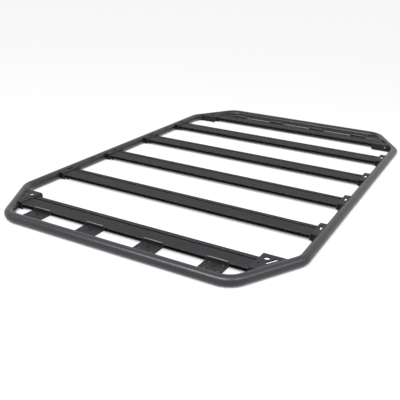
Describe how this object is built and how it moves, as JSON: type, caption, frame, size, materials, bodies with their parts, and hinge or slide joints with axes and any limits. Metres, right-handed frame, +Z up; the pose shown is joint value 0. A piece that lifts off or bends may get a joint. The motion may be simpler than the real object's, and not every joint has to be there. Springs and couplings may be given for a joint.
{
  "type": "flat platform roof rack",
  "caption": "Flat platform roof rack: a bent round-tube frame with chamfered corners carries slotted extruded crossbars on end brackets, with drilled accessory plates at both ends.",
  "frame": {"origin": "on the floor plane under the bracket feet, at the centre of the plan", "axes": "+Z up, +X to the rack's right, +Y to the rear along its length; the front edge faces -Y"},
  "size_m": [1.24, 1.985, 0.0391],
  "materials": {
    "frame_coat": "satin",
    "bar_coat": "satin",
    "plate_coat": "satin",
    "sleeve_metal": "satin"
  },
  "bodies": {
    "root": {"front_tube": "frame_coat", "rear_tube": "frame_coat", "left_side_tube": "frame_coat", "right_side_tube": "frame_coat", "joint_sleeve_front_left": "sleeve_metal", "joint_sleeve_front_right": "sleeve_metal", "joint_sleeve_rear_left": "sleeve_metal", "joint_sleeve_rear_right": "sleeve_metal", "crossbar_1": "bar_coat", "crossbar_2": "bar_coat", "crossbar_3": "bar_coat", "crossbar_4": "bar_coat", "crossbar_5": "bar_coat", "crossbar_6": "bar_coat", "bar_bracket_left_2": "plate_coat", "bar_bracket_left_3": "plate_coat", "bar_bracket_left_4": "plate_coat", "bar_bracket_left_5": "plate_coat", "bar_bracket_right_2": "plate_coat", "bar_bracket_right_3": "plate_coat", "bar_bracket_right_4": "plate_coat", "bar_bracket_right_5": "plate_coat", "corner_bracket_front_left": "plate_coat", "corner_bracket_front_right": "plate_coat", "corner_bracket_rear_left": "plate_coat", "corner_bracket_rear_right": "plate_coat", "accessory_plate_front_1": "plate_coat", "accessory_plate_front_2": "plate_coat", "accessory_plate_front_3": "plate_coat", "accessory_plate_front_4": "plate_coat", "accessory_plate_rear_1": "plate_coat", "accessory_plate_rear_2": "plate_coat", "accessory_plate_rear_3": "plate_coat", "accessory_plate_rear_4": "plate_coat"}
  },
  "joints": []
}
